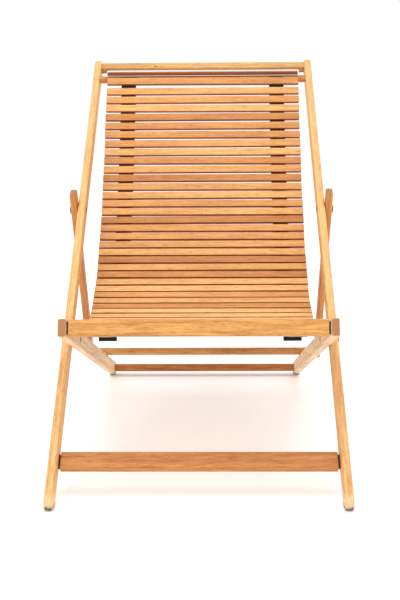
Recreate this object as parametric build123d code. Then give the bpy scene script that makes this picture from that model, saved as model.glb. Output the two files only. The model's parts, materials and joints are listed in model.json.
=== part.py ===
from build123d import *
import os
from math import cos, sin, tan, radians, pi

# Folding deck chair with a slatted wooden mat on two webbing straps.
# Millimetres. -Y is the front, +Z is up, and +X is to the right as seen from the front: names
# that end in _left and _right are the sides as seen from the front.
# Origin: on the floor, in the middle of the footprint. Each side frame lies in a YZ plane.

# ---- driving dimensions -------------------------------------------------------------
RAIL_THICK = 18.0          # side rails, across the chair
RAIL_DEEP = 38.0           # side rails, front edge to rear edge
BACK_HALF_WIDTH = 300.0    # outer face of the back frame's rails
PIVOT_GAP = 1.3            # between a back rail and the seat rail inside it
PROP_GAP = 1.5             # between a back rail and the prop strut outside it
PROP_THICK = 16.0
PROP_DEEP = 30.0

BACK_TILT = 40.3           # degrees above the floor
SEAT_TILT = -18.9
PROP_TILT = -62.0
PIVOT_Z = 269.5            # seat pivot: where the back and seat frames cross
FRONT_FOOT_TO_PIVOT = 311.0
MID_DEPTH = 519.0          # from the front foot's contact line to the middle of the footprint

BACK_UP = 960.0            # back rail, from the seat pivot to its top end
SEAT_FRONT = 215.0         # seat rail, from the seat pivot forwards
SEAT_REAR = 790.0          # and rearwards
PROP_PIVOT_UP = 398.4      # prop pivot, up the back rail from the seat pivot
PROP_ABOVE = 49.0          # prop strut above its pivot
PROP_BELOW = 480.0         # prop strut below its pivot
PROP_BAR_AT = 462.3        # prop bar, down the strut from its pivot

RAIL_EDGE_R = 4.0
FOOT_R = 14.0
REAR_FOOT_R = 8.0
FRONT_END_R = 5.0

# ---- cross members --------------------------------------------------------------------
HEAD_THICK = 20.0
HEAD_PROUD = 2.0           # its middle, in front of the rails' middle
HEAD_TALL = 25.0
HEAD_SHOULDER = 14.0       # full-section ends of the head rail
HEAD_LIP = 6.0             # what the finger relief leaves at the front edge
HEAD_RELIEF = 15.5
SLING_BAR_R = 9.5
SLING_BAR_UP = 889.3       # up the back frame from the seat pivot
SLING_BAR_LIFT = 8.0       # towards the front edge
STRETCHER_TALL = 37.0
STRETCHER_THICK = 19.0
STRETCHER_DOWN = 301.5     # down the back frame from the seat pivot to its middle
END_GROOVE = 3.5           # shadow gap at the ends of the front rail and the lower stretcher
FRONT_RAIL_TALL = 34.0
FRONT_RAIL_THICK = 20.0
REAR_BAR_TALL = 20.0
REAR_BAR_WIDE = 28.0
REAR_BAR_AT = 764.0
PROP_BAR_R = 10.0
TENON_DEEP = 11.0

# ---- notches in the seat rails -----------------------------------------------------------
NOTCH_PITCH = 100.0
NOTCH_WIDE = 14.0
NOTCH_DEEP = 8.0
NOTCH_MIDDLE = 541.6       # the notch that the prop bar rests in, from the seat pivot
NOTCH_STEPS = (-1, 0, 1)

# ---- mat -----------------------------------------------------------------------------------
SLAT_WIDE = 20.0
SLAT_THICK = 9.0
SLAT_EDGE_R = 1.0
SLAT_HALF = 260.5
OVER_BAR = -9.8            # middle of the slat over the sling bar, from the mat's tangent point
FIRST_SLAT = 16.0          # middle of the first hanging slat
SECOND_SLAT = 46.5         # middle of the second, where the even spacing starts
HEAD_PITCH = 26.8          # spacing at the head end, which closes up
SEAT_PITCH = 24.2          # to this over the mat's upper slats
EASED_SLATS = 30
END_FREE = 25.0            # no slat nearer than this to the strap's end
SLATS_PER_LINK = 3
STRAP_WIDE = 40.0
STRAP_THICK = 2.2
STRAP_AT = 201.5           # middle of each strap from the middle of the chair
STRAP_GAP = 0.8            # between the strap lengths of two links
STRAP_FLAT = 9.4           # half of the strap's flat under a slat
WRAP_STEP = 15.0           # degrees between the flats of the strap round the sling bar
WRAP_TURN = 255.0          # degrees that the strap goes round the bar
WRAP_EASE = 0.15           # keeps those flats clear of the bar
TAIL_AT = 176.0            # the folded strap tail, back along the mat from the front rail
TAIL_LONG = 9.5
TAIL_FOLD = 5.0
TACK_HEAD_R = 3.2
TACK_HEAD_H = 1.0
TACK_R = 1.0
TACK_LONG = 10.0
TACK_PITCH = 18.0
SLING_SLOPE = 62.0         # the mat leaves the sling bar at this angle to the floor

# ---- pivots ----------------------------------------------------------------------------------
BOLT_R = 4.0
BOLT_RUN = 0.05            # radial clearance of a moving piece on its bolt
HEAD_R = 9.0
HEAD_H = 2.0
NUT_R = 6.5
NUT_SUNK = 4.0
NUT_PROUD = 0.9
MOVE_GAP = 0.3             # between pieces that turn past each other
WASHER_R = 11.0
PIN_R = 2.5
PIN_LONG = 30.0
PIN_IN = 7.0               # tenon pins, from the rail's inner face

BACK_IN = BACK_HALF_WIDTH - RAIL_THICK
SEAT_OUT = BACK_IN - PIVOT_GAP
SEAT_IN = SEAT_OUT - RAIL_THICK
PROP_IN = BACK_HALF_WIDTH + PROP_GAP
PROP_OUT = PROP_IN + PROP_THICK
HALF_DEEP = RAIL_DEEP / 2
PIVOT_Y = FRONT_FOOT_TO_PIVOT - MID_DEPTH


def side_plane(pivot, tilt):
    """Side view of a frame: local x runs along its rails, local y is square to them, upwards."""
    t = radians(tilt)
    return Plane(origin=(0, pivot.Y, pivot.Z), x_dir=(0, cos(t), sin(t)), z_dir=(1, 0, 0))


def at(plane, along, up):
    """World point in the side view at local coordinates of a frame."""
    return plane.from_local_coords(Vector(along, up, 0))


SEAT_PIVOT = Vector(0, PIVOT_Y, PIVOT_Z)
BACK = side_plane(SEAT_PIVOT, BACK_TILT)
SEAT = side_plane(SEAT_PIVOT, SEAT_TILT)
PROP_PIVOT = at(BACK, PROP_PIVOT_UP, 0)
PROP = side_plane(PROP_PIVOT, PROP_TILT)


# ---- shared shapes ---------------------------------------------------------------------------
def outline(points, radii):
    """Closed outline of straight runs, with each corner rounded by its own radius."""
    face = make_face(Polyline(*points, close=True))
    for point, radius in zip(points, radii):
        if radius:
            corner = face.vertices().sort_by_distance((*point, 0))[0]
            face = fillet(corner, radius)
    return face


def slab(plane, face, x0, x1, edge_r=0.0):
    """A side-view face given its thickness across the chair, with rounded edges."""
    solid = extrude(plane.offset(x0) * face, amount=x1 - x0)
    if edge_r:
        solid = fillet(solid.faces().filter_by(Axis.X).edges(), edge_r)
    return solid


def block(plane, u, w, x, edge_r=0.0):
    """A bar across the chair: u and w are its extents in the side view, x its ends."""
    face = Pos((u[0] + u[1]) / 2, (w[0] + w[1]) / 2) * Rectangle(u[1] - u[0], w[1] - w[0])
    solid = extrude(plane.offset(x[0]) * face, amount=x[1] - x[0])
    if edge_r:
        solid = fillet(solid.edges().filter_by(Axis.X), edge_r)
    return solid


def rod(plane, u, w, radius, x0, x1):
    """A round bar across the chair."""
    return extrude(plane.offset(x0) * Pos(u, w) * Circle(radius), amount=x1 - x0)


def peg(plane, u, x, start, end, radius):
    """A round peg in the side view's plane, square to the rails, from start to end."""
    middle = plane.offset(x) * Pos(u, (start + end) / 2, 0) * Rot(90, 0, 0)
    return middle * Cylinder(radius, abs(end - start))


def both(solid):
    """The piece and its mirror image on the chair's other side, as separate solids."""
    return [solid, mirror(solid, about=Plane.YZ)]


def soften(solid, radius):
    """Small rounding of the two end faces of a bar that runs across the chair."""
    ends = solid.faces().filter_by(Axis.X)
    return fillet(ends.edges(), radius)


# ---- back frame --------------------------------------------------------------------------------
BACK_SIN, BACK_COS = sin(radians(BACK_TILT)), cos(radians(BACK_TILT))
SEAT_SIN, SEAT_COS = sin(radians(-SEAT_TILT)), cos(radians(-SEAT_TILT))
HEAD_U = (BACK_UP - HEAD_TALL, BACK_UP)
HEAD_W = (HEAD_PROUD - HEAD_THICK / 2, HEAD_PROUD + HEAD_THICK / 2)
STRETCHER_U = (-STRETCHER_DOWN - STRETCHER_TALL / 2, -STRETCHER_DOWN + STRETCHER_TALL / 2)
STRETCHER_W = (-HALF_DEEP, -HALF_DEEP + STRETCHER_THICK)
HEAD_TENON = ((HEAD_U[0] + 4, HEAD_U[1] - 5), (-5.0, 5.0))
STRETCHER_TENON = ((STRETCHER_U[0] + 5, STRETCHER_U[1] - 5), (-15.5, -4.5))
SLING_TENON_R = 6.0


def tenon(plane, size, inner, side=1):
    """A glued tenon from the bar's shoulder into the rail whose inner face is at inner."""
    ends = (inner, inner + TENON_DEEP) if side > 0 else (-inner - TENON_DEEP, -inner)
    return block(plane, size[0], size[1], ends)


def back_rail():
    front_foot = (-(PIVOT_Z + HALF_DEEP * BACK_COS) / BACK_SIN, HALF_DEEP)
    rear_foot = (-(PIVOT_Z - HALF_DEEP * BACK_COS) / BACK_SIN, -HALF_DEEP)
    points = [front_foot, (BACK_UP, HALF_DEEP), (BACK_UP, -HALF_DEEP), rear_foot]
    face = outline(points, [FOOT_R, 2, 2, FOOT_R])
    rail = slab(BACK, face, BACK_IN, BACK_HALF_WIDTH, RAIL_EDGE_R)
    rail -= tenon(BACK, HEAD_TENON, BACK_IN)
    rail -= tenon(BACK, STRETCHER_TENON, BACK_IN)
    rail -= rod(BACK, SLING_BAR_UP, SLING_BAR_LIFT, SLING_TENON_R, BACK_IN, BACK_IN + TENON_DEEP)
    rail -= rod(BACK, 0, 0, BOLT_R, BACK_IN - 1, BACK_HALF_WIDTH + 1)
    rail -= rod(BACK, PROP_PIVOT_UP, 0, BOLT_R, BACK_IN - 1, BACK_HALF_WIDTH + 1)
    rail -= rod(BACK, PROP_PIVOT_UP, 0, NUT_R, BACK_IN - 1, BACK_IN + NUT_SUNK)
    for pin in back_pins():
        rail -= pin
    return rail


def back_pins():
    """Pins that lock the glued tenons, driven in from the rails' rear edges."""
    x = BACK_IN + PIN_IN
    rear = -HALF_DEEP
    places = [sum(HEAD_U) / 2, SLING_BAR_UP, -STRETCHER_DOWN]
    return [peg(BACK, u, x, rear, rear + PIN_LONG, PIN_R) for u in places]


def head_rail():
    rail = block(BACK, HEAD_U, HEAD_W, (-BACK_IN, BACK_IN), 3.5)
    inside = BACK_IN - HEAD_SHOULDER
    relief = block(BACK, (HEAD_U[0] - 5, HEAD_U[0] + HEAD_RELIEF),
                   (HEAD_W[0] - 5, HEAD_W[1] - HEAD_LIP), (-inside, inside), 3.0)
    rail -= relief
    for side in (1, -1):
        rail += tenon(BACK, HEAD_TENON, BACK_IN, side)
    return drilled(rail, back_pins())


def drilled(bar, pins):
    """A bar with its tenons drilled for the pins on both sides."""
    for pin in pins:
        for hole in both(pin):
            bar -= hole
    return bar


def sling_bar():
    bar = rod(BACK, SLING_BAR_UP, SLING_BAR_LIFT, SLING_BAR_R, -BACK_IN, BACK_IN)
    reach = BACK_IN + TENON_DEEP
    bar += rod(BACK, SLING_BAR_UP, SLING_BAR_LIFT, SLING_TENON_R, -reach, reach)
    return drilled(bar, back_pins())


def lower_stretcher():
    half = BACK_IN - END_GROOVE
    bar = soften(block(BACK, STRETCHER_U, STRETCHER_W, (-half, half), 3.0), 1.5)
    reach = BACK_IN + TENON_DEEP
    bar += block(BACK, *STRETCHER_TENON, (-reach, reach))
    return drilled(bar, back_pins())


# ---- seat frame ----------------------------------------------------------------------------------
FRONT_U = (-SEAT_FRONT, -SEAT_FRONT + FRONT_RAIL_THICK)
FRONT_W = (-FRONT_RAIL_TALL / 2, FRONT_RAIL_TALL / 2)
REAR_BAR_U = (REAR_BAR_AT - REAR_BAR_WIDE / 2, REAR_BAR_AT + REAR_BAR_WIDE / 2)
REAR_BAR_W = (-REAR_BAR_TALL / 2, REAR_BAR_TALL / 2)
FRONT_TENON = ((FRONT_U[0] + 5, FRONT_U[1] - 5), (-12.0, 12.0))
REAR_TENON = ((REAR_BAR_U[0] + 6, REAR_BAR_U[1] - 6), (-5.0, 5.0))


def seat_rail():
    floor_at = (PIVOT_Z - HALF_DEEP * SEAT_COS) / SEAT_SIN
    heel = (SEAT_REAR, (SEAT_REAR * SEAT_SIN - PIVOT_Z) / SEAT_COS)
    points = [(-SEAT_FRONT, HALF_DEEP), (SEAT_REAR, HALF_DEEP), heel,
              (floor_at, -HALF_DEEP), (-SEAT_FRONT, -HALF_DEEP)]
    face = outline(points, [FRONT_END_R, FOOT_R, REAR_FOOT_R, 0, FRONT_END_R])
    rail = slab(SEAT, face, SEAT_IN, SEAT_OUT, RAIL_EDGE_R)
    rail -= tenon(SEAT, FRONT_TENON, SEAT_IN)
    rail -= tenon(SEAT, REAR_TENON, SEAT_IN)
    for step in NOTCH_STEPS:
        rail -= notch(NOTCH_MIDDLE + step * NOTCH_PITCH)
    rail -= rod(SEAT, 0, 0, BOLT_R + BOLT_RUN, SEAT_IN - 1, SEAT_OUT + 1)
    rail -= rod(SEAT, 0, 0, NUT_R + MOVE_GAP, SEAT_IN - 1, SEAT_IN + NUT_SUNK + MOVE_GAP)
    for pin in seat_pins():
        rail -= pin
    return rail


def notch(u):
    """A round-bottomed notch in the seat rail's top edge."""
    floor = HALF_DEEP - NOTCH_DEEP
    half = NOTCH_WIDE / 2
    points = [(u - half, floor), (u + half, floor), (u + half, HALF_DEEP + 3), (u - half, HALF_DEEP + 3)]
    return slab(SEAT, outline(points, [4, 4, 0, 0]), SEAT_IN - 1, SEAT_OUT + 1)


def seat_pins():
    """Pins that lock the glued tenons, driven in from the rails' bottom edges."""
    x = SEAT_IN + PIN_IN
    bottom = -HALF_DEEP
    places = [(-SEAT_FRONT + FRONT_RAIL_THICK / 2, bottom + PIN_LONG), (REAR_BAR_AT, bottom + PIN_LONG)]
    return [peg(SEAT, u, x, bottom, top, PIN_R) for u, top in places]


def seat_front_rail():
    half = SEAT_IN - END_GROOVE
    bar = soften(block(SEAT, FRONT_U, FRONT_W, (-half, half), 4.5), 2.0)
    reach = SEAT_IN + TENON_DEEP
    bar += block(SEAT, *FRONT_TENON, (-reach, reach))
    return drilled(bar, seat_pins())


def seat_rear_stretcher():
    bar = block(SEAT, REAR_BAR_U, REAR_BAR_W, (-SEAT_IN, SEAT_IN), 3.5)
    reach = SEAT_IN + TENON_DEEP
    bar += block(SEAT, *REAR_TENON, (-reach, reach))
    return drilled(bar, seat_pins())


# ---- prop frame ------------------------------------------------------------------------------------
PROP_TENON_R = 6.0


def prop_strut():
    half = PROP_DEEP / 2
    points = [(-PROP_ABOVE, half), (PROP_BELOW, half), (PROP_BELOW, -half), (-PROP_ABOVE, -half)]
    face = outline(points, [2, 13, 13, 2])
    strut = slab(PROP, face, PROP_IN, PROP_OUT, 2.5)
    strut -= rod(PROP, 0, 0, BOLT_R + BOLT_RUN, PROP_IN - 1, PROP_OUT + 1)
    strut -= rod(PROP, PROP_BAR_AT, 0, PROP_TENON_R, PROP_IN, PROP_IN + TENON_DEEP)
    for pin in prop_pins():
        strut -= pin
    return strut


def prop_pins():
    rear = PROP_DEEP / 2
    return [peg(PROP, PROP_BAR_AT, PROP_IN + PIN_IN, rear, rear - 24, PIN_R)]


def prop_bar():
    bar = rod(PROP, PROP_BAR_AT, 0, PROP_BAR_R, -PROP_IN, PROP_IN)
    reach = PROP_IN + TENON_DEEP
    bar += rod(PROP, PROP_BAR_AT, 0, PROP_TENON_R, -reach, reach)
    return drilled(bar, prop_pins())


# ---- pivots ------------------------------------------------------------------------------------------
def domed_head(plane, u, x):
    """A shallow domed bolt head that stands out from x."""
    head = rod(plane, u, 0, HEAD_R, x, x + HEAD_H)
    rim = head.edges().filter_by(GeomType.CIRCLE).sort_by(Axis.X)[-1]
    return fillet(rim, HEAD_H - 0.6)


def pivot_bolt(u, inner, outer):
    """A bolt across the side frames: shank from inner to outer, head outside."""
    return rod(BACK, u, 0, BOLT_R, inner, outer) + domed_head(BACK, u, outer)


def pivot_nut(u, face):
    """A sleeve nut sunk into a rail's inner face, with a driver slot."""
    nut = rod(BACK, u, 0, NUT_R, face - NUT_PROUD, face + NUT_SUNK)
    nut -= rod(BACK, u, 0, BOLT_R, face + 1.2, face + NUT_SUNK + 1)
    nut -= block(BACK, (u - 5, u + 5), (-0.7, 0.7), (face - NUT_PROUD - 1, face - NUT_PROUD + 0.8))
    return nut


def washer(u, x0, x1):
    return rod(BACK, u, 0, WASHER_R, x0, x1) - rod(BACK, u, 0, BOLT_R, x0 - 1, x1 + 1)


def seat_pivot():
    inner_end = SEAT_IN + 1.2
    bolt = pivot_bolt(0, inner_end, BACK_HALF_WIDTH + 1.5)
    washers = [washer(0, SEAT_OUT + MOVE_GAP, BACK_IN), washer(0, BACK_HALF_WIDTH, BACK_HALF_WIDTH + 1.5)]
    return bolt, washers, pivot_nut(0, SEAT_IN)


def prop_pivot():
    u = PROP_PIVOT_UP
    outer = PROP_OUT + MOVE_GAP + 1.5
    bolt = pivot_bolt(u, BACK_IN + 1.2, outer)
    washers = [washer(u, BACK_HALF_WIDTH, PROP_IN - MOVE_GAP), washer(u, PROP_OUT + MOVE_GAP, outer)]
    return bolt, washers, pivot_nut(u, BACK_IN)


# ---- mat -----------------------------------------------------------------------------------------------
SLING = at(BACK, SLING_BAR_UP, SLING_BAR_LIFT)
WRAP_R = SLING_BAR_R + STRAP_THICK / 2
LEAVE = Vector(0, -cos(radians(SLING_SLOPE)), -sin(radians(SLING_SLOPE)))
OUTWARD = Vector(0, -sin(radians(SLING_SLOPE)), cos(radians(SLING_SLOPE)))
MAT_TOP = SLING + OUTWARD * WRAP_R
MAT_END = at(SEAT, FRONT_U[1] + STRAP_THICK / 2 + 6, -8)
MAT_END_SLOPE = -34.0
# the strap's hanging line in the side view, as (distance behind the front foot, height)
MAT_THROUGH = [(882, 690), (803, 562), (697, 430), (565, 322), (452, 280), (329, 274), (212, 299)]


def hanging_line():
    points = [MAT_TOP] + [Vector(0, y - MID_DEPTH, z) for y, z in MAT_THROUGH] + [MAT_END]
    end = radians(MAT_END_SLOPE)
    return Spline(*points, tangents=[LEAVE, Vector(0, -cos(end), -sin(end))])


LINE = hanging_line()
LENGTH = LINE.length


def strap_frame(s):
    """Plane on the strap's middle at distance s: local x down the mat, local y to the sitter."""
    if s < 0:
        turn = -s / WRAP_R
        around = OUTWARD.rotate(Axis.X, -turn * 180 / pi)
        down = LEAVE.rotate(Axis.X, -turn * 180 / pi)
        return Plane(origin=SLING + around * WRAP_R, x_dir=down, z_dir=(-1, 0, 0))
    s = min(s, LENGTH)
    point = LINE.position_at(s, position_mode=PositionMode.LENGTH)
    down = LINE.tangent_at(s, position_mode=PositionMode.LENGTH)
    return Plane(origin=point, x_dir=down, z_dir=(-1, 0, 0))


def slat_place(number):
    """Distance of a slat's middle along the strap."""
    if number < 2:
        return (OVER_BAR, FIRST_SLAT)[number]
    steps = number - 2
    eased = min(steps, EASED_SLATS)
    closing = (HEAD_PITCH - SEAT_PITCH) * eased ** 2 / (2 * EASED_SLATS)
    return SECOND_SLAT + eased * HEAD_PITCH - closing + (steps - eased) * SEAT_PITCH


def slat_frame(number):
    """Frame of one slat on the strap. Stapled by hand, they sit a little unevenly."""
    return strap_frame(slat_place(number) + 0.45 * sin(7.3 * number))


def slat(number):
    skew = 0.16 * sin(4.1 * number + 1)
    lift = (STRAP_THICK + SLAT_THICK) / 2
    body = extrude(Rectangle(SLAT_WIDE, SLAT_THICK), amount=SLAT_HALF, both=True)
    body = fillet(body.edges().filter_by(Axis.Z), SLAT_EDGE_R)
    return slat_frame(number) * Pos(0, lift, 0.5 * sin(11.7 * number)) * Rot(0, skew, 0) * body


def straps(frames_and_eases):
    """A length of both straps through frames on its middle, flat between them."""
    half = STRAP_THICK / 2
    upper = [f.from_local_coords(Vector(x, half, 0)) for f, x, ease in frames_and_eases]
    lower = [f.from_local_coords(Vector(x, ease - half, 0)) for f, x, ease in frames_and_eases]
    face = make_face(Polyline(*upper, *reversed(lower), close=True))
    length = extrude(face, amount=STRAP_WIDE, dir=(1, 0, 0))
    return both(Pos(STRAP_AT - STRAP_WIDE / 2, 0, 0) * length)


def run_under(numbers, end):
    """Frames of a strap length: flat under each of its slats, then on to its end."""
    run = []
    for number in numbers:
        run.append((slat_frame(number), -STRAP_FLAT, 0))
        run.append((slat_frame(number), STRAP_FLAT, 0))
    return run + [(strap_frame(end), 0, 0)]


SLAT_COUNT = max(n for n in range(2, 80) if slat_place(n) < LENGTH - END_FREE)
LINK_COUNT = (SLAT_COUNT - 2) // SLATS_PER_LINK


def link_start(link):
    """Where link 0, 1, 2 ... starts along the strap."""
    above = 1 + link * SLATS_PER_LINK
    return (slat_place(above) + slat_place(above + 1)) / 2


def link_slats(link):
    first = 2 + link * SLATS_PER_LINK
    return range(first, first + SLATS_PER_LINK)


def link_straps(link):
    start = strap_frame(link_start(link) + STRAP_GAP / 2)
    return straps([(start, 0, 0)] + run_under(link_slats(link), link_start(link + 1) - STRAP_GAP / 2))


def wrapped_straps():
    """The straps' turns round the sling bar, down to the first hinge line."""
    count = round(WRAP_TURN / WRAP_STEP)
    turns = [WRAP_R * radians(i * WRAP_STEP) for i in range(count, -1, -1)]
    around = [(strap_frame(-s), 0, WRAP_EASE) for s in turns]
    return straps(around + run_under([1], link_start(0) - STRAP_GAP / 2))


def front_straps():
    """The straps' last length, turned up and tacked on the front rail's rear face."""
    up = SEAT.y_dir
    face = FRONT_U[1] + STRAP_THICK / 2
    tacked = [Plane(origin=at(SEAT, face, w), x_dir=up, z_dir=(-1, 0, 0)) for w in (-5.0, 13.0)]
    start = strap_frame(link_start(LINK_COUNT) + STRAP_GAP / 2)
    run = run_under(range(2 + LINK_COUNT * SLATS_PER_LINK, SLAT_COUNT + 1), LENGTH)
    return straps([(start, 0, 0)] + run + [(frame, 0, 0) for frame in tacked])


def strap_tails():
    """Folded strap ends that hang under the mat behind the front rail."""
    frame = strap_frame(LENGTH - TAIL_AT)
    top = -STRAP_THICK / 2
    fold = Pos(0, top - TAIL_LONG / 2) * Rectangle(TAIL_FOLD, TAIL_LONG)
    tail = extrude(frame * fold, amount=STRAP_WIDE, dir=(1, 0, 0))
    tail = fillet(tail.edges().filter_by(Axis.X).sort_by(Axis.Z)[:2], 1.6)
    return both(Pos(STRAP_AT - STRAP_WIDE / 2, 0, 0) * tail)


def tack(frame):
    """A flat-headed tack driven along its frame's local -y from the strap's upper face."""
    top = STRAP_THICK / 2
    head = Pos(0, top + TACK_HEAD_H / 2, 0) * Rot(90, 0, 0) * Cylinder(TACK_HEAD_R, TACK_HEAD_H)
    shank = Pos(0, top - TACK_LONG / 2, 0) * Rot(90, 0, 0) * Cylinder(TACK_R, TACK_LONG)
    return frame * (head + shank)


def tacks(frame):
    """Two tacks side by side through each strap."""
    pair = [Pos(STRAP_AT + side * TACK_PITCH / 2, 0, 0) * tack(frame) for side in (-1, 1)]
    return [one for made in pair for one in both(made)]


def front_rail_tack_frame():
    return Plane(origin=at(SEAT, FRONT_U[1] + STRAP_THICK / 2, 6.0), x_dir=SEAT.y_dir, z_dir=(-1, 0, 0))


def sling_bar_tack_frame():
    return strap_frame(-WRAP_R * radians(WRAP_TURN - 2 * WRAP_STEP - WRAP_STEP / 2))


# ---- write ---------------------------------------------------------------------------------------------
def name_sides(parts, base, solid):
    right, left = both(solid)
    parts[base + "_right"] = right
    parts[base + "_left"] = left


def build():
    parts = {}
    name_sides(parts, "back_rail", back_rail())
    parts["head_rail"] = head_rail()
    parts["sling_bar"] = sling_bar()
    parts["lower_stretcher"] = lower_stretcher()
    name_sides(parts, "seat_rail", seat_rail())
    parts["seat_front_rail"] = seat_front_rail()
    parts["seat_rear_stretcher"] = seat_rear_stretcher()
    name_sides(parts, "prop_strut", prop_strut())
    parts["prop_bar"] = prop_bar()
    parts["back_tenon_pins"] = [p for pin in back_pins() for p in both(pin)]
    parts["seat_tenon_pins"] = [p for pin in seat_pins() for p in both(pin)]
    parts["prop_tenon_pins"] = [p for pin in prop_pins() for p in both(pin)]
    for name, made in (("seat_pivot", seat_pivot()), ("prop_pivot", prop_pivot())):
        bolt, washers, nut = made
        parts[name + "_bolts"] = both(bolt)
        parts[name + "_washers"] = [p for w in washers for p in both(w)]
        parts[name + "_nuts"] = both(nut)
    parts["mat_top_slats"] = [slat(0), slat(1)]
    parts["mat_top_straps"] = wrapped_straps()
    for link in range(LINK_COUNT):
        name = f"{link + 1:02d}"
        parts["mat_slats_" + name] = [slat(number) for number in link_slats(link)]
        parts["mat_straps_" + name] = link_straps(link)
    parts["mat_front_slats"] = [slat(n) for n in range(2 + LINK_COUNT * SLATS_PER_LINK, SLAT_COUNT + 1)]
    parts["mat_front_straps"] = front_straps()
    parts["mat_strap_tails"] = strap_tails()
    parts["front_rail_tacks"] = tacks(front_rail_tack_frame())
    parts["sling_bar_tacks"] = tacks(sling_bar_tack_frame())
    return parts


def write(parts):
    os.makedirs("parts", exist_ok=True)
    for name, made in parts.items():
        solids = made if isinstance(made, list) else [made]
        shape = solids[0] if len(solids) == 1 else Compound(children=[s for s in solids])
        export_step(shape, f"parts/{name}.step")


if __name__ == "__main__":
    print("mat length", LENGTH, "slats", SLAT_COUNT, "links", LINK_COUNT)
    write(build())
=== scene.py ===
import json
import math
import random

import bmesh
import bpy
import numpy as np
from mathutils import Matrix, Vector


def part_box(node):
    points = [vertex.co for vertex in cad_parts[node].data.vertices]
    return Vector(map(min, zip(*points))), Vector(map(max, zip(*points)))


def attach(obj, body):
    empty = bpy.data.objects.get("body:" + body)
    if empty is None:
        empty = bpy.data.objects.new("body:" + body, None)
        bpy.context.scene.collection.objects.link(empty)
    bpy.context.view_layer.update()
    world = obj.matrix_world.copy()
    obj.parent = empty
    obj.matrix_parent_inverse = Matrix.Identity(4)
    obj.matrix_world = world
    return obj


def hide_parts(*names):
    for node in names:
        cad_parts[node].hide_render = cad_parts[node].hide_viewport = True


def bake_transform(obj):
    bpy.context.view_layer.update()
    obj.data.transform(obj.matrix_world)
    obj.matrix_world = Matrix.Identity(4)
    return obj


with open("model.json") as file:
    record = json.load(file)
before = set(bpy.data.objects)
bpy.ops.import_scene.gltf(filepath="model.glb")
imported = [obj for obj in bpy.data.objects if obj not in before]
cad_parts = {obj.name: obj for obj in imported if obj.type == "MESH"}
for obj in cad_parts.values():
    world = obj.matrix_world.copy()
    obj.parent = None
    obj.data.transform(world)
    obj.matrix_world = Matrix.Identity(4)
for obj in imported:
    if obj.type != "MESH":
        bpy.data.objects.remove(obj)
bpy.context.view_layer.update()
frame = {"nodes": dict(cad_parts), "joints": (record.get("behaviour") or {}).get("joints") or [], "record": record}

MM = 0.001

# ---- sizes repeated from the design, in metres -----------------------------------------
BACK_TILT = 40.3            # degrees above the floor
SEAT_TILT = -18.9
PROP_TILT = -62.0
MIDDLE = 519 * MM           # from the front feet's contact line to the origin
SLAT_CORNER = 1.0 * MM
TENON_AND_GAP = 14.5 * MM
STRAP_THICK = 2.2 * MM
STRAP_WIDE = 40 * MM
STRAP_AT = 201.5 * MM
TAIL_LONG = 9.5 * MM
FLAT = 9.2 * MM             # half of the strap's flat under a slat
OPEN_JOINT = 7              # the mat's halves meet after this link
LINKS = 14
SLATS_PER_LINK = 3
HEAD_WRAP = 255             # degrees of webbing round the sling bar
WRAP_STEP = 15
RAIL_FACE = -195 * MM       # the front rail's rear face, from the seat pivot
STAPLE_WIDE = 9 * MM
STAPLE_SPREAD = 11          # mm, from a strap's middle line to each of its staples
WIRE = 0.55 * MM            # radius of a staple's wire
SHARP_PIECE = 50            # degrees between faces that still shade as one
SHARP_CARRIED = 38

# ---- looks -----------------------------------------------------------------------------
FRAME_LIGHT = (0.76, 0.395, 0.125)
FRAME_DARK = (0.42, 0.150, 0.042)
# each board its own cast; the seat rails' much paler, greyer tint is a painted reflection on their inner faces
HEAD_TINT = (0.84, 0.95, 0.98)
FRONT_TINT = (0.97, 0.98, 0.84)
BACK_TINT = (1.08, 1.20, 1.45)
SEAT_REFLECTION_TINT = (1.24, 1.75, 3.3)
STRETCHER_TINT = (0.84, 0.72, 0.66)
PROP_TINT = (0.90, 0.80, 0.75)
SLAT_LIGHT = (0.80, 0.47, 0.175)
SLAT_DARK = (0.47, 0.175, 0.050)
# painted highlight colour for the sheen on the seat slats
SLAT_SHEEN_PALE = (0.90, 0.68, 0.37)
SLAT_MIDDLE = (0.67, 0.31, 0.095)
# painted shade for the slats' edge faces, darkest on the edge towards the front rail
SLAT_EDGE_SHADE = (0.50, 0.27, 0.165)
END_GRAIN = (0.165, 0.058, 0.022)
RAIL_END = (0.36, 0.150, 0.052)
DOWEL = (0.30, 0.135, 0.05)
GRAIN_SHADE = (0.60, 0.46, 0.36)
# painted shade for the tenons inside the gaps at the rail ends
SHADOW_GAP = (0.02, 0.008, 0.004)
KNOT_DARK = (0.10, 0.04, 0.018)
BLEACHED = (0.80, 0.60, 0.38)
SOLE_DIRT = (0.035, 0.030, 0.028)
STAPLE_STEEL = (0.50, 0.49, 0.47)
PIVOT_STEEL = (0.36, 0.24, 0.145)
TACK_STEEL = (0.30, 0.30, 0.31)
WEB_DARK = (0.006, 0.006, 0.007)
WEB_LIGHT = (0.028, 0.028, 0.032)
# the top slat, just under the head rail, gets a dark tone as painted shade
TOP_SLAT_SHADE_TONE = 0.85
SHEEN_FROM = 24              # slats beyond this one are painted paler, a painted highlight standing in for the sheen on the seat
WORLD_STRENGTH = 1.02
OVERHEAD_POWER = 56
FRONT_POWER = 26
FLOOR_REACH = 14
FLOOR_GLOW = 0.14


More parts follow.
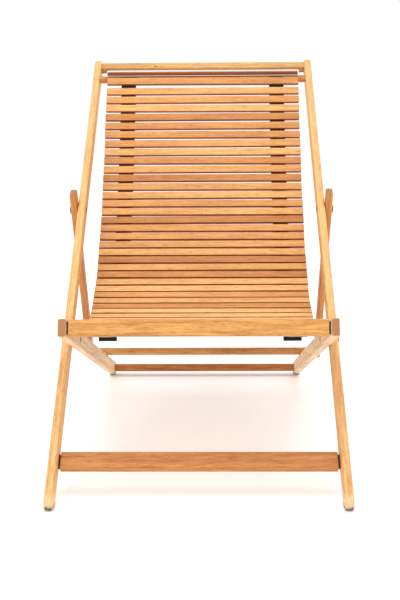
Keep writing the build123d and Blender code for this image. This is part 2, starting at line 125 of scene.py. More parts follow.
# ---- node trees --------------------------------------------------------------------------
class Tree:
    """A small helper that adds nodes and links to one material."""

    def __init__(self, name):
        self.material = bpy.data.materials.new(name)
        self.material.use_nodes = True
        self.nodes = self.material.node_tree.nodes
        self.links = self.material.node_tree.links
        self.shader = self.nodes["Principled BSDF"]
        self.coords = self.nodes.new("ShaderNodeTexCoord")

    def link(self, a, b):
        self.links.new(a, b)

    def math(self, kind, a, b=None, clamp=False):
        node = self.nodes.new("ShaderNodeMath")
        node.operation = kind
        node.use_clamp = clamp
        for socket, value in zip(node.inputs, (a, b)):
            self.feed(socket, value)
        return node.outputs[0]

    def feed(self, socket, value):
        if value is None:
            return
        if hasattr(value, "is_linked"):
            self.link(value, socket)
        else:
            socket.default_value = value

    def vector(self, kind, a, b):
        node = self.nodes.new("ShaderNodeVectorMath")
        node.operation = kind
        self.feed(node.inputs[0], a)
        self.feed(node.inputs[1], b)
        return node.outputs["Value"] if kind == "DOT_PRODUCT" else node.outputs[0]

    def turned(self, vector, turn):
        """Turned about X by turn degrees."""
        spin = self.nodes.new("ShaderNodeMapping")
        spin.inputs["Rotation"].default_value = (math.radians(turn), 0, 0)
        self.link(vector, spin.inputs["Vector"])
        return spin.outputs[0]

    def noise(self, vector, scale=1.0, detail=3.0, rough=0.5, distort=0.0):
        node = self.nodes.new("ShaderNodeTexNoise")
        node.inputs["Scale"].default_value = scale
        node.inputs["Detail"].default_value = detail
        node.inputs["Roughness"].default_value = rough
        node.inputs["Distortion"].default_value = distort
        self.link(vector, node.inputs["Vector"])
        return node.outputs["Fac"]

    def remap(self, value, low, high, to_low=0.0, to_high=1.0):
        node = self.nodes.new("ShaderNodeMapRange")
        node.inputs["From Min"].default_value = low
        node.inputs["From Max"].default_value = high
        node.inputs["To Min"].default_value = to_low
        node.inputs["To Max"].default_value = to_high
        self.link(value, node.inputs["Value"])
        return node.outputs[0]

    def mix(self, amount, a, b, blend="MIX"):
        node = self.nodes.new("ShaderNodeMix")
        node.data_type = "RGBA"
        node.blend_type = blend
        self.feed(node.inputs["Factor"], amount)
        for socket, value in zip((node.inputs[6], node.inputs[7]), (a, b)):
            self.feed(socket, (*value, 1) if isinstance(value, tuple) else value)
        return node.outputs[2]

    def attribute(self, name):
        node = self.nodes.new("ShaderNodeAttribute")
        node.attribute_name = name
        return node.outputs["Fac"]

    def bump(self, height, strength, distance):
        node = self.nodes.new("ShaderNodeBump")
        node.inputs["Strength"].default_value = strength
        node.inputs["Distance"].default_value = distance
        self.link(height, node.inputs["Height"])
        self.link(node.outputs[0], self.shader.inputs["Normal"])

    def put(self, **values):
        for name, value in values.items():
            self.feed(self.shader.inputs[name.replace("_", " ")], value)


def wood_grain(tree, along):
    """Fibre, ring and pore values from coordinates whose X runs along the grain."""
    rings = tree.noise(tree.vector("MULTIPLY", along, (1.1, 34, 34)), 1.0, 2.0, 0.5, 0.35)
    bands = tree.math("SINE", tree.math("MULTIPLY", rings, 44.0))
    bands = tree.math("MULTIPLY_ADD", bands, 0.5)
    bands.node.inputs[2].default_value = 0.5
    streaks = tree.noise(tree.vector("MULTIPLY", along, (24, 210, 210)), 1.0, 3.0, 0.6, 0.4)
    fibre = tree.noise(tree.vector("MULTIPLY", along, (15, 560, 560)), 1.0, 4.0, 0.65)
    fibre = tree.math("ADD", tree.math("MULTIPLY", streaks, 0.5), tree.math("MULTIPLY", fibre, 0.5))
    pores = tree.noise(tree.vector("MULTIPLY", along, (70, 520, 520)), 1.0, 2.0, 0.55)
    return bands, fibre, pores


def finish_wood(tree, colour, fibre, pores, gloss=0.46):
    pore_mask = tree.remap(pores, 0.56, 0.68)
    colour = tree.mix(tree.math("MULTIPLY", pore_mask, 0.40), colour, END_GRAIN)
    rough = tree.remap(fibre, 0.3, 0.75, gloss, gloss + 0.2)
    tree.put(Base_Color=colour, Roughness=rough)
    tree.put(Coat_Weight=0.03, Coat_Roughness=0.32, Specular_IOR_Level=0.28)
    height = tree.math("SUBTRACT", fibre, tree.math("MULTIPLY", pore_mask, 0.8))
    tree.bump(height, 0.30, 0.0004)
    return tree.material


def frame_wood(name, axis="X", tilt=0.0, shift=0.0, tone=0.0, worn=False, knot=None, notch=False,
               tint=(1, 1, 1), shoulder=None):
    """Oiled hardwood whose grain runs along X, or along a rail tilted in the side view.

    Beyond the shoulder, measured from the middle, a cross piece is painted near black as shade in its shadow gap.
    """
    tree = Tree(name)
    spot = tree.coords.outputs["Object"]
    if axis == "X":
        along = tree.vector("ADD", spot, (shift, shift * 0.37, -shift * 0.21))
    else:
        turned = tree.turned(spot, -tilt)
        parts = tree.nodes.new("ShaderNodeSeparateXYZ")
        tree.link(turned, parts.inputs[0])
        join = tree.nodes.new("ShaderNodeCombineXYZ")
        for source, target in zip((1, 0, 2), join.inputs):
            tree.link(parts.outputs[source], target)
        along = tree.vector("ADD", join.outputs[0], (shift, shift * 0.53, shift * 0.11))
    bands, fibre, pores = wood_grain(tree, along)
    broad = tree.noise(tree.vector("MULTIPLY", along, (2.2, 16, 16)), 1.0, 2.0, 0.5)
    amount = tree.math("MULTIPLY_ADD", bands, 0.26)
    amount.node.inputs[2].default_value = 0.04 + tone
    amount = tree.math("ADD", amount, tree.remap(fibre, 0.38, 0.63, -0.14, 0.46))
    amount = tree.math("ADD", amount, tree.remap(broad, 0.36, 0.66, -0.10, 0.22), clamp=True)
    light = tuple(c * t for c, t in zip(FRAME_LIGHT, tint))
    dark = tuple(c * t for c, t in zip(FRAME_DARK, tint))
    colour = tree.mix(amount, light, dark)
    # faces across the grain, at cut ends and notches, are darker: dark, or brown on the notched seat rails
    lean = math.radians(tilt)
    grain = (1, 0, 0) if axis == "X" else (0, math.cos(lean), math.sin(lean))
    facing = tree.math("ABSOLUTE", tree.vector("DOT_PRODUCT", tree.coords.outputs["Normal"], grain))
    end = tree.remap(facing, 0.45, 0.90, 0.0, 0.96 if notch else 0.5)
    colour = tree.mix(end, colour, RAIL_END if notch else END_GRAIN)
    if worn:
        colour = worn_foot(tree, spot, colour)
    if shoulder is not None:
        sides = tree.nodes.new("ShaderNodeSeparateXYZ")
        tree.link(spot, sides.inputs[0])
        beyond = tree.math("ABSOLUTE", sides.outputs["X"])
        # painted shade: the tenon inside the shadow gap is coloured near black
        gap_shade = tree.remap(beyond, shoulder - 0.0004, shoulder + 0.0004)
        colour = tree.mix(gap_shade, colour, SHADOW_GAP)
    if knot is not None:
        colour = tree.mix(knot_mask(tree, spot, knot), colour, KNOT_DARK)
    return finish_wood(tree, colour, fibre, pores)


def worn_foot(tree, spot, colour):
    """Bleached wood above a foot and a dark, dirty sole."""
    parts = tree.nodes.new("ShaderNodeSeparateXYZ")
    tree.link(spot, parts.inputs[0])
    height = parts.outputs["Z"]
    ragged = tree.noise(tree.vector("MULTIPLY", spot, (180, 60, 60)), 1.0, 3.0, 0.6)
    level = tree.math("ADD", height, tree.math("MULTIPLY", tree.math("SUBTRACT", ragged, 0.5), 0.022))
    pale = tree.math("MULTIPLY", tree.remap(level, 0.034, 0.022), tree.remap(level, 0.006, 0.014))
    colour = tree.mix(tree.math("MULTIPLY", pale, 0.55), colour, BLEACHED)
    sole = tree.remap(level, 0.011, 0.003, 0.0, 0.93)
    return tree.mix(sole, colour, SOLE_DIRT)


def knot_mask(tree, spot, place):
    offset = tree.vector("MULTIPLY", tree.vector("SUBTRACT", spot, place), (240, 330, 330))
    node = tree.nodes.new("ShaderNodeVectorMath")
    node.operation = "LENGTH"
    tree.link(offset, node.inputs[0])
    return tree.remap(node.outputs["Value"], 1.15, 0.55, 0.0, 0.9)


def slat_wood():
    """Slats from many boards: each has its own tone, grain and reddish or golden cast."""
    tree = Tree("slat_wood")
    tone = tree.attribute("tone")
    shift = tree.attribute("shift")
    join = tree.nodes.new("ShaderNodeCombineXYZ")
    for socket, factor in zip(join.inputs, (3.7, 1.9, 2.3)):
        tree.link(tree.math("MULTIPLY", shift, factor), socket)
    along = tree.vector("ADD", tree.coords.outputs["Object"], join.outputs[0])
    bands, fibre, pores = wood_grain(tree, along)
    broad = tree.noise(tree.vector("MULTIPLY", along, (3.4, 14, 14)), 1.0, 2.0, 0.5)
    # tones below zero are a painted highlight for the sheen on the seat slats
    base = tree.mix(tree.remap(tone, -0.6, 0.0), SLAT_SHEEN_PALE, SLAT_LIGHT)
    base = tree.mix(tree.remap(tone, 0.0, 0.5), base, SLAT_MIDDLE)
    base = tree.mix(tree.remap(tone, 0.5, 1.0), base, SLAT_DARK)
    amount = tree.math("ADD", tree.math("MULTIPLY", bands, 0.18),
                       tree.remap(fibre, 0.37, 0.64, -0.16, 0.52))
    amount = tree.math("ADD", amount, tree.remap(broad, 0.38, 0.68, -0.06, 0.26), clamp=True)
    deep = tree.mix(1.0, base, GRAIN_SHADE, "MULTIPLY")
    colour = tree.mix(amount, base, deep)
    # painted shade: the slats' edge faces are darkened, the edge towards the front rail most
    colour = tree.mix(tree.attribute("edge"), colour, tree.mix(1.0, colour, SLAT_EDGE_SHADE, "MULTIPLY"))
    facing = tree.math("ABSOLUTE", tree.vector("DOT_PRODUCT", tree.coords.outputs["Normal"], (1, 0, 0)))
    colour = tree.mix(tree.remap(facing, 0.6, 0.9, 0.0, 0.6), colour, END_GRAIN)
    return finish_wood(tree, colour, fibre, pores, 0.48)


def webbing():
    """Black woven webbing: twill ribs across the width and fuzzy, slightly worn crowns."""
    tree = Tree("webbing")
    spread = tree.attribute("across")
    length = tree.attribute("length")
    ribs = tree.math("SINE", tree.math("MULTIPLY", length, 2 * math.pi / 0.0022))
    twill = tree.math("ADD", tree.math("MULTIPLY", length, 2 * math.pi / 0.0044),
                      tree.math("MULTIPLY", spread, 2 * math.pi / 0.0032))
    cross = tree.math("SINE", twill)
    weave = tree.math("MULTIPLY", tree.math("ADD", ribs, cross), 0.25)
    weave = tree.math("ADD", weave, 0.5, clamp=True)
    dust = tree.noise(tree.coords.outputs["Object"], 160.0, 3.0, 0.6)
    amount = tree.math("MULTIPLY", weave, tree.remap(dust, 0.3, 0.8, 0.5, 1.2), clamp=True)
    tree.put(Base_Color=tree.mix(amount, WEB_DARK, WEB_LIGHT))
    tree.put(Roughness=tree.remap(dust, 0.3, 0.8, 0.72, 0.9), Sheen_Weight=0.25)
    tree.put(Sheen_Roughness=0.5, Specular_IOR_Level=0.25)
    tree.bump(weave, 0.6, 0.0003)
    return tree.material


def steel(name, tint, rough):
    """Turned and lightly tarnished steel."""
    tree = Tree(name)
    spot = tree.coords.outputs["Object"]
    fine = tree.noise(tree.vector("MULTIPLY", spot, (300, 2200, 2200)), 1.0, 3.0, 0.6)
    stain = tree.noise(spot, 210.0, 3.0, 0.55)
    dull = tuple(0.55 * c for c in tint)
    tree.put(Base_Color=tree.mix(tree.remap(stain, 0.45, 0.75), tint, dull))
    tree.put(Metallic=1.0, Roughness=tree.remap(fine, 0.3, 0.7, rough, rough + 0.22))
    tree.bump(fine, 0.12, 0.0001)
    return tree.material


def dowel_wood():
    """End grain of the tenon pins: concentric, dark and open-pored."""
    tree = Tree("dowel_wood")
    spot = tree.coords.outputs["Object"]
    pores = tree.noise(spot, 2600.0, 2.0, 0.5)
    rings = tree.noise(spot, 420.0, 3.0, 0.6)
    colour = tree.mix(tree.remap(rings, 0.35, 0.7), DOWEL, tuple(0.5 * c for c in DOWEL))
    return finish_wood(tree, colour, rings, pores, 0.5)


# ---- mesh helpers -------------------------------------------------------------------------
def new_piece(name, mesh, body, material):
    piece = bpy.data.objects.new(name, mesh)
    bpy.context.scene.collection.objects.link(piece)
    piece.data.materials.append(material)
    for polygon in mesh.polygons:
        polygon.use_smooth = True
    mesh.set_sharp_from_angle(angle=math.radians(SHARP_PIECE))
    if body:
        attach(piece, body)
    return piece


def islands(node):
    """The separate solids of a CAD node, each as an array of its corner points."""
    work = bmesh.new()
    work.from_mesh(frame["nodes"][node].data)
    bmesh.ops.remove_doubles(work, verts=work.verts, dist=2e-6)
    left = set(work.verts)
    found = []
    while left:
        stack = [left.pop()]
        group = []
        while stack:
            vert = stack.pop()
            group.append(vert.co[:])
            for edge in vert.link_edges:
                other = edge.other_vert(vert)
                if other in left:
                    left.remove(other)
                    stack.append(other)
        found.append(np.array(group))
    work.free()
    return found


class Slat:
    """Place of one slat, read from its CAD solid: its two end centres, width and outward axes."""

    def __init__(self, points):
        high = points[points[:, 0] > points[:, 0].max() - 2e-4]
        low = points[points[:, 0] < points[:, 0].min() + 2e-4]
        self.ends = [self.middle(low), self.middle(high)]
        section = high[:, 1:] - high[:, 1:].mean(axis=0)
        spread = np.linalg.eigh(section.T @ section)[1]
        across = spread[:, 1]
        if across[0] > 0:
            across = -across
        self.down = Vector((0, across[0], across[1]))      # towards the front rail
        self.out = Vector((-1, 0, 0)).cross(self.down)
        reach = section @ across
        lift = section @ np.array(self.out[1:])
        self.wide = reach.max() - reach.min()
        self.thick = lift.max() - lift.min()
        self.centre = (self.ends[0] + self.ends[1]) / 2

    @staticmethod
    def middle(points):
        return Vector((points.min(axis=0) + points.max(axis=0)) / 2)


def rounded_section(half_wide, half_thick, radius, steps=4):
    """Outline of a rounded bar, as (across, outward) pairs in order."""
    outline = []
    corners = ((1, 1, 0), (-1, 1, 90), (-1, -1, 180), (1, -1, 270))
    for side, lift, start in corners:
        for i in range(steps + 1):
            angle = math.radians(start + 90 * i / steps)
            outline.append((side * (half_wide - radius) + radius * math.cos(angle),
                            lift * (half_thick - radius) + radius * math.sin(angle)))
    return outline


def loft(rings, layers=None):
    """A mesh through rings of equal length; layers gives a value per point for each name."""
    mesh = bmesh.new()
    kept = {name: mesh.verts.layers.float.new(name) for name in layers or {}}
    rows = [[mesh.verts.new(point) for point in ring] for ring in rings]
    count = len(rings[0])
    for a, b in zip(rows, rows[1:]):
        for i in range(count):
            j = (i + 1) % count
            mesh.faces.new((a[i], a[j], b[j], b[i]))
    mesh.faces.new(list(reversed(rows[0])))
    mesh.faces.new(rows[-1])
    for name, layer in kept.items():
        for row, row_values in zip(rows, layers[name]):
            for vert, value in zip(row, row_values):
                vert[layer] = value
    bmesh.ops.recalc_face_normals(mesh, faces=mesh.faces)
    return mesh


def joined(meshes, name):
    """Several bmeshes as one mesh that keeps their layers."""
    whole = bmesh.new()
    for one in meshes:
        data = bpy.data.meshes.new("part")
        one.to_mesh(data)
        one.free()
        whole.from_mesh(data)
        bpy.data.meshes.remove(data)
    mesh = bpy.data.meshes.new(name)
    whole.to_mesh(mesh)
    whole.free()
    return mesh


# ---- camera, lights and floor -------------------------------------------------------------
CAMERA_AT = (34.5 * MM, -1831.2 * MM - MIDDLE, 749.5 * MM)
CAMERA_DOWN = 10.385
CAMERA_TURN = 0.918
CAMERA_ROLL = -0.339
LENS = 60.0


def camera():
    data = bpy.data.cameras.new("camera")
    data.sensor_width = 36
    data.lens = LENS
    data.clip_end = 50
    view = bpy.data.objects.new("camera", data)
    bpy.context.scene.collection.objects.link(view)
    turn = Matrix.Rotation(math.radians(CAMERA_TURN), 4, "Z")
    tilt = Matrix.Rotation(math.radians(90 - CAMERA_DOWN), 4, "X")
    roll = Matrix.Rotation(math.radians(CAMERA_ROLL), 4, "Z")
    view.matrix_world = Matrix.Translation(CAMERA_AT) @ turn @ tilt @ roll
    bpy.context.scene.camera = view


def soft_light(name, place, target, size, power):
    data = bpy.data.lights.new(name, "AREA")
    data.shape = "RECTANGLE"
    data.size, data.size_y = size
    data.energy = power
    light = bpy.data.objects.new(name, data)
    bpy.context.scene.collection.objects.link(light)
    light.location = place
    aim = Vector(target) - Vector(place)
    light.rotation_euler = aim.to_track_quat("-Z", "Y").to_euler()


def studio():
    world = bpy.data.worlds.new("studio")
    world.use_nodes = True
    world.node_tree.nodes["Background"].inputs["Color"].default_value = (1, 1, 1, 1)
    world.node_tree.nodes["Background"].inputs["Strength"].default_value = WORLD_STRENGTH
    bpy.context.scene.world = world
    bpy.context.scene.view_settings.view_transform = "Standard"
    soft_light("overhead", (0, -0.4, 3.4), (0, 0, 0.3), (3.4, 3.0), OVERHEAD_POWER)
    soft_light("front", (-1.3, -3.2, 2.0), (0, 0, 0.45), (1.8, 1.6), FRONT_POWER)


def floor():
    mesh = bpy.data.meshes.new("floor")
    reach = FLOOR_REACH
    corners = [(-reach, -reach, 0), (reach, -reach, 0), (reach, reach, 0), (-reach, reach, 0)]
    mesh.from_pydata(corners, [], [(0, 1, 2, 3)])
    plane = bpy.data.objects.new("floor", mesh)
    bpy.context.scene.collection.objects.link(plane)
    plane.location.z = -0.0004
    tree = Tree("studio_floor")
    tree.put(Base_Color=(0.95, 0.95, 0.95, 1), Roughness=1.0)
    tree.put(Emission_Color=(1, 1, 1, 1), Emission_Strength=FLOOR_GLOW)
    mesh.materials.append(tree.material)


# ---- slats ----------------------------------------------------------------------------------
def slat_mesh(slat, tone, shift, rng):
    """One slat with rounded edges and eased ends, very slightly bowed and cupped."""
    half_wide = slat.wide / 2
    half_thick = slat.thick / 2
    outline = rounded_section(half_wide, half_thick, SLAT_CORNER)
    low, high = slat.ends
    bow = rng.uniform(-0.25, 0.25) * MM
    inner = [0.01 + 0.98 * i / 22 for i in range(23)]
    stations = [0, 0.0011, 0.0032] + inner + [0.9968, 0.9989, 1]
    shrink = {0: 0.86, 1: 0.955, len(stations) - 2: 0.955, len(stations) - 1: 0.86}
    rings = []
    for index, t in enumerate(stations):
        scale = shrink.get(index, 1.0)
        centre = low.lerp(high, t) + slat.down * (bow * math.sin(math.pi * t))
        ring = []
        for across, lift in outline:
            side = math.copysign(half_wide * (1 - scale), across) * 0.45
            rise = math.copysign(half_thick * (1 - scale), lift)
            ring.append(centre + slat.down * (across - side) + slat.out * (lift - rise))
        rings.append(ring)
    # weights of the painted edge shade: 1 on the edge towards the front rail, 0.55 on the other
    edge = [(1.0 if across > 0 else 0.55) if abs(across) > half_wide - 0.6 * SLAT_CORNER else 0.0
            for across, lift in outline]
    rows = len(rings)
    values = {
        "tone": [[tone] * len(outline)] * rows,
        "shift": [[shift] * len(outline)] * rows,
        "edge": [edge] * rows,
    }
    return loft(rings, values)


def ordered_slats(node):
    """Slats of a node from the head end towards the front."""
    found = [Slat(points) for points in islands(node)]
    return sorted(found, key=lambda s: (-s.centre.y, -s.centre.z))


def slat_nodes():
    """Names of the slat nodes, from the head end to the front."""
    links = [f"mat_slats_{i:02d}" for i in range(1, LINKS + 1)]
    return ["mat_top_slats", *links, "mat_front_slats"]


def slat_tone(number):
    """Boards as they came: mostly golden, some reddish; the seat slats are painted paler as a highlight standing
    in for their sheen.
    """
    wave = 0.46 + 0.24 * math.sin(2.63 * number + 0.6) + 0.20 * math.sin(5.17 * number + 1.9)
    # painted highlight: seat slats lifted paler, standing in for sheen
    sheen_lift = 0.05 * max(number - SHEEN_FROM, 0)
    return min(max(wave - sheen_lift, -0.45), 1.0)


def slats():
    """Replaces every slat node and returns the slats in order with their bodies."""
    wood = slat_wood()
    row = []
    for node in slat_nodes():
        body = body_of_node(node)
        meshes = []
        for slat in ordered_slats(node):
            number = len(row)
            rng = random.Random(100 + number)
            # the top slat's dark tone is painted shade from the head rail
            tone = TOP_SLAT_SHADE_TONE if number == 0 else slat_tone(number)
            meshes.append(slat_mesh(slat, tone, rng.uniform(0, 9), rng))
            slat.body = body
            row.append(slat)
        mesh = joined(meshes, node + "_wood")
        piece = new_piece(node.replace("mat_", "wood_"), mesh, body, wood)
        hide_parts(node)
    return row


def body_of_node(node):
    for body, nodes in frame["record"]["behaviour"]["bodies"].items():
        if node in nodes:
            return body
    raise ValueError(node)


# ---- straps -----------------------------------------------------------------------------------
WEB_HALF = STRAP_WIDE / 2
RIBS = 9


def strap_section():
    """Flat webbing with low lengthwise ribs and rounded selvedges, as (sideways, outward)."""
    half = STRAP_THICK / 2
    steps = RIBS * 4
    top = []
    for i in range(steps + 1):
        side = -WEB_HALF + 1 * MM + (STRAP_WIDE - 2 * MM) * i / steps
        rib = 0.10 * MM * math.cos(2 * math.pi * i * RIBS / steps)
        top.append((side, half - 0.12 * MM + rib))
    edge = [(WEB_HALF - 0.25 * MM, half * 0.62), (WEB_HALF, 0), (WEB_HALF - 0.25 * MM, -half * 0.62)]
    bottom = [(side, -lift) for side, lift in reversed(top)]
    other = [(-side, lift) for side, lift in reversed(edge)]
    return top + edge + bottom + other


def under(slat, along):
    """Point in the middle of the strap, under a slat."""
    return slat.centre - slat.out * ((slat.thick + STRAP_THICK) / 2) + slat.down * along


def smooth_path(points, spacing=3 * MM):
    """Points in the side view joined by a rounded line at even spacing."""
    points = [Vector((0, p[1], p[2])) for p in points]
    path = [points[0]]
    for i in range(len(points) - 1):
        a, b = points[i], points[i + 1]
        before = points[i - 1] if i > 0 else a - (b - a)
        after = points[i + 2] if i + 2 < len(points) else b + (b - a)
        count = max(1, round((b - a).length / spacing))
        for k in range(1, count + 1):
            t = k / count
            lead = (b - before).normalized() * (b - a).length
            trail = (after - a).normalized() * (b - a).length
            path.append(hermite(a, b, lead, trail, t))
    return path


def hermite(a, b, lead, trail, t):
    t2, t3 = t * t, t * t * t
    ends = a * (2 * t3 - 3 * t2 + 1) + lead * (t3 - 2 * t2 + t)
    return ends + b * (3 * t2 - 2 * t3) + trail * (t3 - t2)


def strap_mesh(path):
    """Both straps along a path on their middle."""
    section = strap_section()
    meshes = []
    for side in (-1, 1):
        rings, lengths, across = [], [], []
        run = 0.0
        for i, point in enumerate(path):
            ahead = path[min(i + 1, len(path) - 1)] - path[max(i - 1, 0)]
            outward = Vector((-1, 0, 0)).cross(ahead.normalized())
            run += (point - path[i - 1]).length if i else 0
            rings.append([point + Vector((side * STRAP_AT + x, 0, 0)) + outward * lift
                          for x, lift in section])
            lengths.append([run] * len(section))
            across.append([x for x, lift in section])
        meshes.append(loft(rings, {"length": lengths, "across": across}))
    return meshes


def straps(row):
    """Webbing under the whole mat, in lengths that run across the links' hinges."""
    web = webbing()
    joints = {j["name"]: Vector(j["pos_m"]) for j in frame["joints"]}

    def slat_of(link, place):
        return row[2 + (link - 1) * SLATS_PER_LINK + place]

    def length_between(name, a_link, b_link, joint, nodes):
        first, last = slat_of(a_link, 1), slat_of(b_link, 1)
        a_end, b_start = slat_of(a_link, 2), slat_of(b_link, 0)
        points = [under(first, 0), under(first, FLAT), under(a_end, -FLAT), under(a_end, FLAT),
                  under(b_start, -FLAT), under(b_start, FLAT), under(last, -FLAT), under(last, 0)]
        mesh = joined(strap_mesh(smooth_path(points)), name)
        piece = new_piece(name, mesh, None, web)
        hinge = joints[joint]
        bend(piece, f"mat_link_{a_link:02d}", f"mat_link_{b_link:02d}", hinge,
             under(a_end, 0), under(b_start, 0))
        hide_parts(*nodes)

    def bend(piece, body_a, body_b, hinge, before, after):
        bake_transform(piece)

    for link in range(1, LINKS):
        if link == OPEN_JOINT:
            continue
        joint = f"mat_{link + 1:02d}" if link < OPEN_JOINT else f"mat_{link:02d}"
        length_between(f"web_{link:02d}", link, link + 1, joint,
                       [f"mat_straps_{link:02d}", f"mat_straps_{link + 1:02d}"])
    meeting = (under(slat_of(OPEN_JOINT, 2), 0) + under(slat_of(OPEN_JOINT + 1, 0), 0)) / 2
    for name, link, order in (("web_upper_end", OPEN_JOINT, 1), ("web_lower_end", OPEN_JOINT + 1, -1)):
        edge = slat_of(link, 2) if order > 0 else slat_of(link, 0)
        middle = slat_of(link, 1)
        points = [under(middle, 0), under(middle, order * FLAT), under(edge, -order * FLAT),
                  under(edge, order * FLAT), meeting]
        if order < 0:
            points.reverse()
        mesh = joined(strap_mesh(smooth_path(points)), name)
        piece = new_piece(name, mesh, f"mat_link_{link:02d}", web)
        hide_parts(f"mat_straps_{link:02d}")
    head_end(row, web, joints, slat_of, bend)
    front_end(row, web, joints, slat_of, bend)
    tails(web, row)


def bar_middle(node):
    low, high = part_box(node)
    return (Vector(low) + Vector(high)) / 2, (high[1] - low[1]) / 2


def head_end(row, web, joints, slat_of, bend):
    """The webbing's turns round the sling bar, over the first slat and on to the first link."""
    centre, radius = bar_middle("sling_bar")
    hang = row[1].out
    points = []
    radius += STRAP_THICK / 2 + 0.1 * MM
    for i in range(HEAD_WRAP // WRAP_STEP + 1):
        angle = math.radians(-HEAD_WRAP + WRAP_STEP * i)
        spun = Matrix.Rotation(-angle, 3, "X") @ hang
        points.append(centre + spun * radius)
    first = slat_of(1, 0)
    points += [under(row[1], -FLAT), under(row[1], FLAT), under(first, -FLAT), under(first, FLAT),
               under(slat_of(1, 1), -FLAT), under(slat_of(1, 1), 0)]
    mesh = joined(strap_mesh(smooth_path(points)), "web_head")
    piece = new_piece("web_head", mesh, None, web)
    bend(piece, "back_frame", "mat_link_01", joints["mat_01"], under(row[1], 0), under(first, 0))
    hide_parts("mat_top_straps", "mat_straps_01")


def seat_point(along, up):
    """World point from distances along and square to the seat rails, about the seat pivot."""
    pivot = next(Vector(j["pos_m"]) for j in frame["joints"] if j["name"] == "fold")
    tilt = math.radians(SEAT_TILT)
    forward = Vector((0, math.cos(tilt), math.sin(tilt)))
    square = Vector((0, -math.sin(tilt), math.cos(tilt)))
    return pivot + forward * along + square * up


def front_end(row, web, joints, slat_of, bend):
    """The last length, turned up against the front rail's rear face."""
    last = row[-1]
    face = RAIL_FACE + STRAP_THICK / 2 + 0.05 * MM
    middle, edge = slat_of(LINKS, 1), slat_of(LINKS, 2)
    points = [under(middle, 0), under(middle, FLAT), under(edge, -FLAT), under(edge, FLAT),
              under(last, -FLAT), under(last, FLAT),
              seat_point(face + 5.5 * MM, -9 * MM), seat_point(face, -3 * MM),
              seat_point(face, 5 * MM), seat_point(face, 13 * MM)]
    mesh = joined(strap_mesh(smooth_path(points)), "web_front")
    piece = new_piece("web_front", mesh, None, web)
    bend(piece, f"mat_link_{LINKS:02d}", "seat_frame", joints[f"mat_{LINKS:02d}"],
         under(edge, 0), under(last, 0))
    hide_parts(f"mat_straps_{LINKS:02d}", "mat_front_straps")


def tails(web, row):
    """Each strap's end folded back on itself, hanging as a stitched loop under the mat."""
    low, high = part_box("mat_strap_tails")
    centre = Vector((0, (low[1] + high[1]) / 2, (low[2] + high[2]) / 2))
    near = min(row, key=lambda s: (s.centre - centre).length)
    half_fold = 1.45 * MM
    top = under(near, (centre - under(near, 0)).dot(near.down)) - near.out * (STRAP_THICK / 2)
    falling = [(-1.0, -0.08), (-1.0, 0.35), (-1.1, 0.80), (-0.6, 0.93)]
    profile = falling + [(-along, drop) for along, drop in reversed(falling)]
    points = [top + near.down * (half_fold * along) - near.out * (TAIL_LONG * drop)
              for along, drop in profile]
    mesh = joined(strap_mesh(smooth_path(points, 1 * MM)), "web_tails")
    piece = new_piece("web_tails", mesh, body_of_node("mat_strap_tails"), web)
    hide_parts("mat_strap_tails")


# ---- staples ------------------------------------------------------------------------------------
def staple_mesh(centre, along, out, wide):
    """A wire staple with its crown against the strap and its legs going up into the slat."""
    half = wide / 2
    leg = STRAP_THICK + 3 * MM
    corner = 1 * MM
    rising = [(half - corner, 0), (half - corner * 0.3, corner * 0.3), (half, corner), (half, leg)]
    path = [(-a, b) for a, b in reversed(rising)] + rising
    points = [centre + along * a + out * (b - 0.4 * WIRE) for a, b in path]
    side = along.cross(out).normalized()
    rings = []
    for i, point in enumerate(points):
        ahead = (points[min(i + 1, len(points) - 1)] - points[max(i - 1, 0)]).normalized()
        normal = side.cross(ahead)
        turns = [2 * math.pi * k / 8 for k in range(8)]
        rings.append([point + (side * math.cos(a) + normal * math.sin(a)) * WIRE for a in turns])
    return loft(rings)


def staples(row):
    metal = steel("staple_steel", STAPLE_STEEL, 0.38)
    groups = {}
    for number, slat in enumerate(row):
        if number == 0:
            continue
        rng = random.Random(900 + number)
        for side in (-1, 1):
            for offset in (-STAPLE_SPREAD, STAPLE_SPREAD):
                x = side * STRAP_AT + offset * MM + rng.uniform(-1.2, 1.2) * MM
                lean = rng.uniform(-0.18, 0.18)
                along = (slat.down * math.cos(lean) + Vector((1, 0, 0)) * math.sin(lean)).normalized()
                centre = slat.centre - slat.out * (slat.thick / 2 + STRAP_THICK) + Vector((x, 0, 0))
                staple = staple_mesh(centre, along, slat.out, STAPLE_WIDE)
                groups.setdefault(slat.body, []).append(staple)
    for body, meshes in groups.items():
        new_piece("staples_" + body, joined(meshes, "staples_" + body), body, metal)


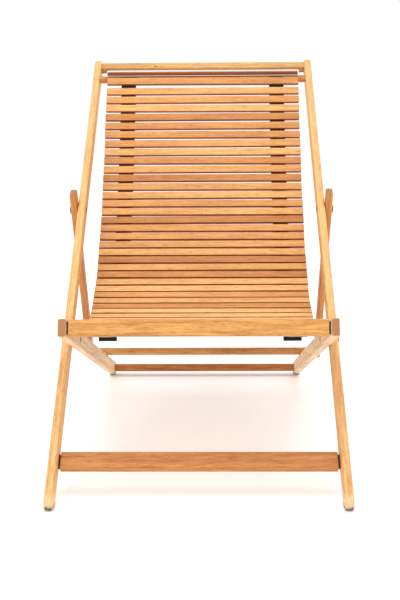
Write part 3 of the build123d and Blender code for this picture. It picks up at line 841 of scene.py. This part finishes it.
# ---- carried-over parts ----------------------------------------------------------------------------
def paint(node, material):
    target = frame["nodes"][node]
    target.data.materials.clear()
    target.data.materials.append(material)
    for polygon in target.data.polygons:
        polygon.use_smooth = True
    target.data.set_sharp_from_angle(angle=math.radians(SHARP_CARRIED))


def shoulder(node):
    """Where a rail stops and its tenon goes on through the shadow gap."""
    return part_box(node)[1][0] - TENON_AND_GAP


def frame_parts():
    low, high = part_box("head_rail")
    knot = (-0.131, low[1] + 0.004, high[2] - 0.010)
    cross_pieces = (
        ("head_rail", 1.3, -0.04, HEAD_TINT),
        ("sling_bar", 2.9, 0.30, (1, 1, 1)),
        ("lower_stretcher", 4.4, 0.16, STRETCHER_TINT),
        ("seat_front_rail", 6.1, 0.02, FRONT_TINT),
        ("seat_rear_stretcher", 7.7, 0.35, STRETCHER_TINT),
        ("prop_bar", 9.2, 0.12, (1, 1, 1)),
    )
    for node, shift, tone, tint in cross_pieces:
        gapped = node in ("lower_stretcher", "seat_front_rail")
        paint(node, frame_wood(node + "_wood", shift=shift, tone=tone, tint=tint,
                               knot=knot if node == "head_rail" else None,
                               shoulder=shoulder(node) if gapped else None))
    for side, shift in (("left", 0.0), ("right", 5.0)):
        paint("back_rail_" + side,
              frame_wood("back_rail_wood_" + side, "rail", BACK_TILT, 1.7 + shift, -0.05,
                         worn=True, tint=BACK_TINT))
        # the seat rails' pale tint stands in for a painted reflection on their inner faces
        paint("seat_rail_" + side,
              frame_wood("seat_rail_wood_" + side, "rail", SEAT_TILT, 3.1 + shift, -0.10,
                         worn=True, notch=True, tint=SEAT_REFLECTION_TINT))
        paint("prop_strut_" + side,
              frame_wood("prop_strut_wood_" + side, "rail", PROP_TILT, 4.9 + shift, 0.12,
                         tint=PROP_TINT))
    pins = dowel_wood()
    for node in ("back_tenon_pins", "seat_tenon_pins", "prop_tenon_pins"):
        paint(node, pins)
    metal = steel("pivot_steel", PIVOT_STEEL, 0.40)
    dark = steel("tack_steel", TACK_STEEL, 0.4)
    for pivot in ("seat_pivot", "prop_pivot"):
        for kind in ("_bolts", "_washers", "_nuts"):
            paint(pivot + kind, metal)
    for node in ("sling_bar_tacks", "front_rail_tacks"):
        paint(node, dark)


camera()
studio()
floor()
frame_parts()
slat_row = slats()
straps(slat_row)
staples(slat_row)
